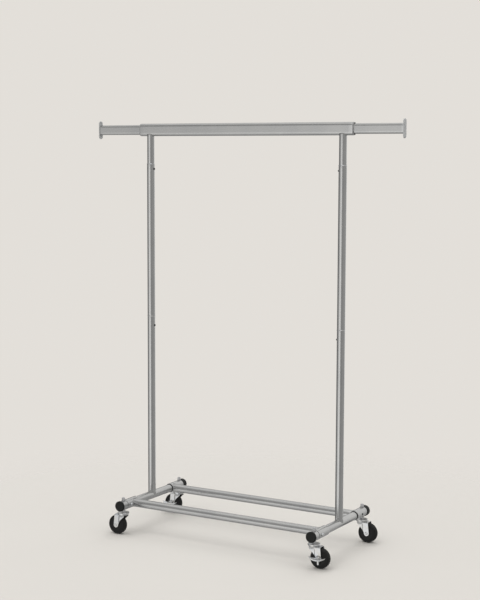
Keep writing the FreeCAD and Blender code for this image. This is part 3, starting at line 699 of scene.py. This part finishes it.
def end_plate(side):
    """A flat oval plate whose loops step in round its outer rim, and the plug behind it."""
    s = SIDES[side]
    outline = oval(reach("right_end_plate", 2) - reach("right_end_plate", 2, -1), 22 * MM)
    turn = np.linspace(0, np.pi / 2, 6)
    rim = 1.5 * MM
    inset = np.concatenate([[3 * MM, 0.4 * MM, 0, 0], rim * (1 - np.cos(turn)), [4 * MM, 9 * MM]])
    depth = np.concatenate([[0, 0, 0.4 * MM, 1.5 * MM], 2.5 * MM + rim * np.sin(turn), [4 * MM, 4 * MM]])
    face = place(outline(inset), s * (PLATE_BACK + depth)[:, None], "X", (0, 0, RAIL_Z))
    plug = oval(BAR_H - 2 * THIN_WALL, BAR_D - 2 * THIN_WALL)
    plug_inset = np.array([4, 0.8, 0, 0]) * MM
    plug_depth = np.array([-15, -15, -14.2, 0.5]) * MM
    back = place(plug(plug_inset), s * (PLATE_BACK + plug_depth)[:, None], "X", (0, 0, RAIL_Z))
    return [(face, "swept"), (back, "swept")]


def build_hanging_rail():
    """The main oval tube, and at each end its bushing, pull-out bar and end plate."""
    centre = (0, 0, RAIL_Z)
    main = walled(oval(RAIL_H, RAIL_D), THIN_WALL, -RAIL_HALF, RAIL_HALF, "X", centre, rim=0.4 * MM,
                  rows=50)
    bore = oval(RAIL_H - 2 * THIN_WALL, RAIL_D - 2 * THIN_WALL)
    lip_outline = oval(46.4 * MM, 22.4 * MM)
    piece("hanging_rail_tube", [(main, "ring")], CHROME["X"], "frame", ["hanging_rail"])
    for side, s in SIDES.items():
        def span(a, b):
            return (s * a, s * b) if s > 0 else (s * b, s * a)

        bush_out, bush_in = reach("right_rail_bushing", 0), reach("right_rail_bushing", 0, -1)
        plug = walled(bore, 1.45 * MM, *span(bush_in, RAIL_HALF), "X", centre)
        lip = walled(lip_outline, 1.85 * MM, *span(RAIL_HALF, bush_out), "X", centre, rim=0.7 * MM)
        piece(side + "_rail_bush", [(plug, "ring"), (lip, "ring")], GREY, "frame",
              [side + "_rail_bushing"])
        bar_in, bar_out = reach("right_pull_bar", 0, -1), reach("right_pull_bar", 0)
        bar = walled(oval(BAR_H, BAR_D), THIN_WALL, *span(bar_in, bar_out), "X", centre, rows=30)
        body = side + "_bar"
        piece(side + "_pull_out_bar", [(bar, "ring")], CHROME["X"], body, [side + "_pull_bar"])
        piece(side + "_end_stop", end_plate(side), PALE, body, [side + "_end_plate"])


# ------------------------------------------------------------ casters

def fork_sheet(x, y, axle_x):
    """The middle sheet of a U fork. Rows run from one toe up its leg, round the shoulder, over the
    top and down to the other toe; each row spans from the hollow front edge to the straight back
    edge, which end in a half circle round the axle."""
    way = np.sign(axle_x - x)
    inner, bend, end_r, pressed = 15 * MM, 3.6 * MM, 10.5 * MM, 2.4 * MM
    top = FORK_TOP - 1.2 * MM
    toe = np.linspace(0, np.pi / 2, 12)
    toe_z = WHEEL_R - end_r * np.cos(toe)
    leg_z = np.linspace(WHEEL_R, top - bend, 22)[1:]
    z_up = np.concatenate([toe_z, leg_z])
    turn = np.linspace(0, np.pi / 2, 8)[1:]
    corner_y = -inner + bend * (1 - np.cos(turn))
    corner_z = top - bend + bend * np.sin(turn)
    top_y = np.linspace(-inner + bend, inner - bend, 16)[1:-1]
    leg_y = np.full(z_up.shape, inner)
    ys = np.concatenate([-leg_y, corner_y, top_y, -corner_y[::-1], leg_y])
    zs = np.concatenate([z_up, corner_z, np.full(top_y.shape, top), corner_z[::-1], z_up[::-1]])
    span, waist = abs(axle_x - x), FORK_TOP - 8 * MM
    half_toe = np.sqrt(np.maximum(end_r ** 2 - np.minimum(zs - WHEEL_R, 0) ** 2, 0))
    share = np.clip((zs - WHEEL_R) / (waist - WHEEL_R), 0, 1)
    front = span - half_toe - (11.7 * share + 16.8 * share ** 2) * MM
    back = span + half_toe - 3.5 * MM * share - 1.0 * MM * np.clip((zs - waist) / (8 * MM), 0, 1)
    columns = np.linspace(0, 1, 25)[None, :]
    across = front[:, None] * (1 - columns) + back[:, None] * columns
    # the front part of each leg is pressed outwards by a smooth step
    step = np.clip((13 * MM - across) / (7 * MM), 0, 1)
    step = step * step * (3 - 2 * step)
    fade = np.clip((FORK_TOP - 2 * MM - zs) / (9 * MM), 0, 1)[:, None]
    ys = ys[:, None] + np.sign(ys)[:, None] * pressed * step * fade
    return np.stack(np.broadcast_arrays(x + way * across, y + ys, zs[:, None]), -1)


def brake_ears(x, y, side):
    """Two small lugs on a fork's outer leg with a round outer end, and the cross pin they hold."""
    pivot_y, pivot_z = y + side * PIVOT_OUT, PIVOT_Z
    turn = np.linspace(0, np.pi, 9)
    lugs = []
    for u in (-7, 7):
        end = np.stack([2.6 * MM * np.cos(turn), side * 2.6 * MM * np.sin(turn) * 0.75], 1)
        rows = np.concatenate([[[2.6 * MM, -side * 6.5 * MM]], end, [[-2.6 * MM, -side * 6.5 * MM]]])
        z = rows[:, :1] * np.linspace(0, 1, 5)[None, :]
        sheet = np.stack(np.broadcast_arrays(x + u * MM, pivot_y + rows[:, 1:], pivot_z + z), -1)
        lugs.append((thick(sheet, FORK_SHEET), "swept"))
    pin = [(0, -9.4), (2.4, -9.4), (2.4, -8.2), (1.6, -8.2), (1.6, 8.2), (2.4, 8.2), (2.4, 9.4), (0, 9.4)]
    lugs.append((turned(pin, (x, pivot_y, pivot_z), (1, 0, 0), 0.3 * MM, 32), "spun"))
    return lugs


def brake_lever(x, y, side):
    """A pressed lever: a rolled barrel on the pin, a crescent pedal that droops in the middle and
    rises to its pointed ends, and a narrow tail that runs down beside the wheel."""
    pivot_y, pivot_z = y + side * PIVOT_OUT, PIVOT_Z
    barrel = [(1.7, -5.6), (3.1, -5.6), (3.1, 5.6), (1.7, 5.6), (1.7, 0)]
    barrel_grid = turned(barrel + [barrel[0]], (x, pivot_y, pivot_z), (1, 0, 0), 0.2 * MM, 40)
    half_span, depth, curve = 33 * MM, 17 * MM, 110 * MM
    u = np.sin(np.linspace(-np.pi / 2, np.pi / 2, 49))[:, None] * half_span
    reach_out = depth * np.sqrt(np.maximum(1 - (u / half_span) ** 2, 0))
    across = np.linspace(0, 1, 15)[None, :]
    out = reach_out * across
    rise = curve - np.sqrt(curve ** 2 - u ** 2)
    crown = 0.8 * MM * np.sin(np.pi * across) * (reach_out / depth)
    lip = -1.0 * MM * across ** 6 * (reach_out / depth)
    ridge = 0.9 * MM * np.exp(-(u / (5 * MM)) ** 2) * (1 - across ** 2)
    slope, root = math.radians(18), 3.6 * MM
    level = rise + crown + lip + ridge - 1.7 * MM
    v = out * math.cos(slope) + level * math.sin(slope) + root
    w = level * math.cos(slope) - out * math.sin(slope) - root * math.sin(slope)
    pedal = np.stack(np.broadcast_arrays(x + u, pivot_y + side * v, pivot_z + w), -1)
    neck_v = np.linspace(1.0, 7.0, 8)[:, None] * MM
    neck_u = np.linspace(-5.3, 5.3, 7)[None, :] * MM
    neck_w = -1.9 * MM - neck_v * math.sin(slope)
    neck = np.stack(np.broadcast_arrays(x + neck_u, pivot_y + side * neck_v, pivot_z + neck_w), -1)
    share = np.linspace(0, 1, 26)[:, None]
    tail_length, tail_half = 27 * MM, 3.5 * MM
    tail_z = pivot_z - 1.8 * MM - share * tail_length
    tail_y = pivot_y - side * (share * 3.0 - 0.2) * MM
    half = tail_half * np.where(share > 0.85, np.sqrt(np.maximum(1 - ((share - 0.85) / 0.15) ** 2, 0)), 1)
    tail = np.stack(np.broadcast_arrays(x + half * np.linspace(-1, 1, 7)[None, :], tail_y, tail_z), -1)
    return [(barrel_grid, "spun")] + [(thick(sheet, LEVER_SHEET), "swept") for sheet in (pedal, neck, tail)]


def tread_wear(x, z):
    """How dusty a wheel is: nothing on its sides, full on the running surface."""
    def level(points):
        radius = np.hypot(points[:, 0] - x, points[:, 2] - z)
        return np.clip((radius - WHEEL_R + 4.5 * MM) / (3.5 * MM), 0, 1) ** 2 * 0.8
    return level


def build_caster(end, side):
    """One caster's crown, fork, axle, wheel and, on two of them, the brake lever."""
    name = f"{end}_{side}"
    x, y = SIDES[side] * POST_X, ENDS[end] * STEM_Y
    axle_x = middle(name + "_wheel", 0)
    braked = name in BRAKED
    crown = [(14, 86.1), (21.4, 86.1), (21.4, 81.7), (23, 81.7), (23, 86.9), (21.4, 88.5), (13, 88.5),
             (11.6, 88.0), (10.4, 88.5), (5.2, 88.5), (5.2, 86.1), (14, 86.1)]
    crown_grid = turned(crown, (x, y, 0), (0, 0, 1), 0.9 * MM, 96)
    piece(name + "_crown_plate", [(crown_grid[:-1], "ring")], ZINC, "frame", [name + "_crown"])
    race = [(12, 78.3), (5.4, 78.3), (5.4, 81.0), (9.5, 81.0), (11, 80.5), (17, 80.5), (18.4, 81.0),
            (19.5, 80.4), (19.5, 78.3), (12, 78.3)]
    race_grid = turned(race, (x, y, 0), (0, 0, 1), 0.5 * MM, 96)
    shells = [(thick(fork_sheet(x, y, axle_x), FORK_SHEET), "swept"), (race_grid[:-1], "ring")]
    if braked:
        shells += brake_ears(axle_x, y, -1)
    piece(name + "_fork_pressing", shells, ZINC, name + "_swivel", [name + "_fork"])
    head = [(0, -18.1), (1.4, -17.8), (2.0, -18.3), (3.8, -18.2), (5.4, -17.2), (6.0, -16.0), (4, -16.0)]
    rivet = head + [(r, -h) for r, h in reversed(head)]
    axle = turned(rivet, (axle_x, y, WHEEL_R), (0, 1, 0), 0.4 * MM, 48)
    piece(name + "_axle_rivet", [(axle, "spun")], ZINC, name + "_swivel", [name + "_axle"])
    half = [(4.1, 0), (4.1, 13.2), (9.6, 13.2), (11, 12.4), (12.5, 11.3), (26.5, 11.3), (28.5, 12.3),
            (29.4, 12.5), (30.0, 12.1), (30.6, 12.5), (32.2, 12.4), (34.6, 11.5), (36.6, 8.8), (37.4, 4.8),
            (37.5, 0)]
    loop = half + [(r, -h) for r, h in reversed(half[1:-1])] + [half[0]]
    wheel = turned(loop, (axle_x, y, WHEEL_R), (0, 1, 0), 0.8 * MM, 120)
    piece(name + "_solid_wheel", [(wheel[:-1], "ring")], RUBBER, name + "_wheel",
          [name + "_wheel"], tread_wear(axle_x, WHEEL_R))
    if braked:
        piece(name + "_brake_pedal", brake_lever(axle_x, y, -1), ZINC, name + "_brake",
              [name + "_brake_lever"])


def build_stems():
    """The threaded stems, and the washer, nut and lock nut on each."""
    stems, nuts, lock_nuts = [], [], []
    collar_top, crown_top = reach("front_collars", 2), reach("rear_right_crown", 2)
    pitch, washer_height = 1.5, 1.4
    for end, e in ENDS.items():
        for s in SIDES.values():
            x, y = s * POST_X, e * STEM_Y
            top = collar_top if end == "front" else BASE_Z + SLEEVE_R
            under = 2 * BASE_Z - top
            washer = top + washer_height * MM
            tip = (washer + 11.5 * MM) / MM
            crests = [(5.0 if i % 2 else 4.3, tip - 0.8 - pitch / 2 * i) for i in range(24)]
            root = [(5, crests[-1][1] - 1), (5, 78.2), (8, 78.2), (8, 76.4), (0, 76.0)]
            profile = [(0, tip), (3.9, tip)] + crests + root
            stems.append((turned(profile, (x, y, 0), (0, 0, 1), 0.25 * MM, 40), "spun"))
            ring = [(6, 0), (5.2, 0), (5.2, washer_height), (7, washer_height), (7, 0), (6, 0)]
            nuts.append((turned(ring, (x, y, top), (0, 0, 1), 0.3 * MM, 64)[:-1], "ring"))
            nuts.append((hexagon_nut(x, y, washer, 9 * MM, 13 * MM, STEM_BORE_R), "ring"))
            lock_nut = hexagon_nut(x, y, crown_top, under - crown_top, 14 * MM, STEM_BORE_R)
            lock_nuts.append((lock_nut, "ring"))
    piece("caster_stem_threads", stems, NUT_ZINC, "frame", ["caster_stems"])
    piece("stem_top_nuts", nuts, NUT_ZINC, "frame", ["stem_nuts"])
    piece("stem_lock_nuts", lock_nuts, NUT_ZINC, "frame")


def dress_inner_nodes():
    """Gives the CAD pieces that stay, nearly all of them inside others, their finishes."""
    worn = {"sleeve_liners": BLACK, "snap_springs": SPRING, "lock_springs": SPRING, "caster_balls": ZINC,
            "left_bar_glide": GREY, "right_bar_glide": GREY}
    for node, material in worn.items():
        mesh = frame["nodes"][node].data
        mesh.materials.clear()
        mesh.materials.append(material)


# ------------------------------------------------------------ studio

BACKDROP = (0.768, 0.738, 0.696)
FLOOR_TONE = (0.785, 0.758, 0.718)
FLOOR_SPAN = 4.5
FLOOR_FADE = (0.6, 1.9)
STUDIO_LEVEL = 0.33
STUDIO_TONE = (1.0, 0.995, 0.98)
# each panel's azimuth and elevation, the angles from its centre where it is full and where it is
# gone, all in degrees, and the light it adds
STUDIO_PANELS = [
    (0, 90, 15, 50, 0.08),
    (-110, 62, 15, 42, 0.36),
    (-9, -13, 9, 30, 0.72),
    (-46, -8, 8, 22, 0.25),
    (-42, -42, 10, 32, 0.28),
    (180, 12, 26, 44, 0.46),
    (-148, 4, 7, 17, -0.38),
    (28, 56, 22, 46, 0.60),
    (100, 0, 15, 45, 0.06),
    (-84, 0, 12, 40, -0.14),
]
# each lamp's azimuth and elevation, the side of its square and its power
LAMPS = {
    "key_light": (-35, 60, 4.5, 62),
    "fill_light": (100, 40, 3.0, 22),
    "back_light": (190, 55, 3.0, 32),
}
LAMP_DISTANCE = 4.5
LAMP_AIM = Vector((0, 0, 0.7))
CAMERA_SIDE, CAMERA_HEIGHT, CAMERA_ROLL = 30.66, 6.06, 0.18
CAMERA_DISTANCE = 5.278
CAMERA_AIM = Vector((-0.0111, 0, 0.9220))
CAMERA_LENS = 83.43


def bearing(azimuth, elevation):
    """The unit vector at an azimuth from the front towards the right, and an elevation, in degrees."""
    a, e = math.radians(azimuth), math.radians(elevation)
    return Vector((math.sin(a) * math.cos(e), -math.cos(a) * math.cos(e), math.sin(e)))


def build_floor():
    """A pale square floor that thins out to nothing between the two distances of FLOOR_FADE."""
    corners = [(p * FLOOR_SPAN, q * FLOOR_SPAN, 0) for p, q in ((-1, -1), (1, -1), (1, 1), (-1, 1))]
    mesh = bpy.data.meshes.new("studio_floor")
    mesh.from_pydata(corners, [], [(0, 1, 2, 3)])
    floor = bpy.data.objects.new("studio_floor", mesh)
    bpy.context.scene.collection.objects.link(floor)
    f = Finish("pale_floor", 0.0, 0.9, FLOOR_TONE)
    f.set("Specular IOR Level", 0.1)
    mesh.materials.append(f.material)
    distance = f.node("ShaderNodeVectorMath", operation="LENGTH")
    f.join(f.place, distance.inputs[0])
    fade = f.node("ShaderNodeMapRange", interpolation_type="SMOOTHSTEP")
    fade.inputs["From Min"].default_value, fade.inputs["From Max"].default_value = FLOOR_FADE
    f.join(distance.outputs["Value"], fade.inputs["Value"])
    through = f.node("ShaderNodeBsdfTransparent")
    blend = f.node("ShaderNodeMixShader")
    f.join(fade.outputs["Result"], blend.inputs[0])
    f.join(f.shader.outputs[0], blend.inputs[1])
    f.join(through.outputs[0], blend.inputs[2])
    output = f.tree.nodes["Material Output"]
    f.join(blend.outputs[0], output.inputs["Surface"])
    floor.visible_glossy = False


def build_world():
    """The backdrop's even tone for the camera, and a soft studio of bright and dark panels for
    light and reflections: brightness is a smooth function of direction."""
    world = bpy.data.worlds.new("soft_studio")
    bpy.context.scene.world = world
    world.use_nodes = True
    tree = world.node_tree
    tree.nodes.clear()
    link = tree.links.new
    direction = tree.nodes.new("ShaderNodeTexCoord").outputs["Generated"]

    def panel(azimuth, elevation, near, far, level):
        """Light added by the angle from a panel's centre: all of it within `near`, none past `far`."""
        dot = tree.nodes.new("ShaderNodeVectorMath")
        dot.operation = "DOT_PRODUCT"
        dot.inputs[1].default_value = bearing(azimuth, elevation)
        link(direction, dot.inputs[0])
        slope = tree.nodes.new("ShaderNodeMapRange")
        slope.interpolation_type = "SMOOTHSTEP"
        slope.inputs["From Min"].default_value = math.cos(math.radians(far))
        slope.inputs["From Max"].default_value = math.cos(math.radians(near))
        slope.inputs["To Max"].default_value = level
        link(dot.outputs["Value"], slope.inputs["Value"])
        return slope.outputs["Result"]

    even = tree.nodes.new("ShaderNodeValue")
    even.outputs[0].default_value = STUDIO_LEVEL
    total = even.outputs[0]
    for spec in STUDIO_PANELS:
        add = tree.nodes.new("ShaderNodeMath")
        add.operation = "ADD"
        link(total, add.inputs[0])
        link(panel(*spec), add.inputs[1])
        total = add.outputs["Value"]
    studio = tree.nodes.new("ShaderNodeBackground")
    studio.inputs["Color"].default_value = (*STUDIO_TONE, 1)
    link(total, studio.inputs["Strength"])
    plain = tree.nodes.new("ShaderNodeBackground")
    plain.inputs["Color"].default_value = (*BACKDROP, 1)
    rays = tree.nodes.new("ShaderNodeLightPath")
    mix = tree.nodes.new("ShaderNodeMixShader")
    output = tree.nodes.new("ShaderNodeOutputWorld")
    link(rays.outputs["Is Camera Ray"], mix.inputs[0])
    link(studio.outputs[0], mix.inputs[1])
    link(plain.outputs[0], mix.inputs[2])
    link(mix.outputs[0], output.inputs["Surface"])


def area_light(name, azimuth, elevation, size, power):
    """A soft square light that looks at LAMP_AIM."""
    lamp = bpy.data.lights.new(name, "AREA")
    lamp.size, lamp.energy = size, power
    holder = bpy.data.objects.new(name, lamp)
    offset = bearing(azimuth, elevation)
    holder.location = LAMP_AIM + offset * LAMP_DISTANCE
    holder.rotation_euler = (-offset).to_track_quat("-Z", "Y").to_euler()
    holder.visible_glossy = False
    bpy.context.scene.collection.objects.link(holder)


def build_camera():
    """A long lens, slightly above and to the right of the rack's front."""
    back = bearing(CAMERA_SIDE, CAMERA_HEIGHT)
    data = bpy.data.cameras.new("camera")
    data.lens = CAMERA_LENS
    data.sensor_width = 36.0
    camera = bpy.data.objects.new("camera", data)
    camera.location = CAMERA_AIM + back * CAMERA_DISTANCE
    level = (-back).to_track_quat("-Z", "Y")
    camera.rotation_euler = (level @ Quaternion((0, 0, 1), math.radians(CAMERA_ROLL))).to_euler()
    bpy.context.scene.collection.objects.link(camera)
    bpy.context.scene.camera = camera


build_base()
build_uprights()
build_hanging_rail()
for end in ENDS:
    for side in SIDES:
        build_caster(end, side)
build_stems()
dress_inner_nodes()
build_floor()
build_world()
for lamp_name, lamp_place in LAMPS.items():
    area_light(lamp_name, *lamp_place)
build_camera()
bpy.context.scene.view_settings.view_transform = "Standard"
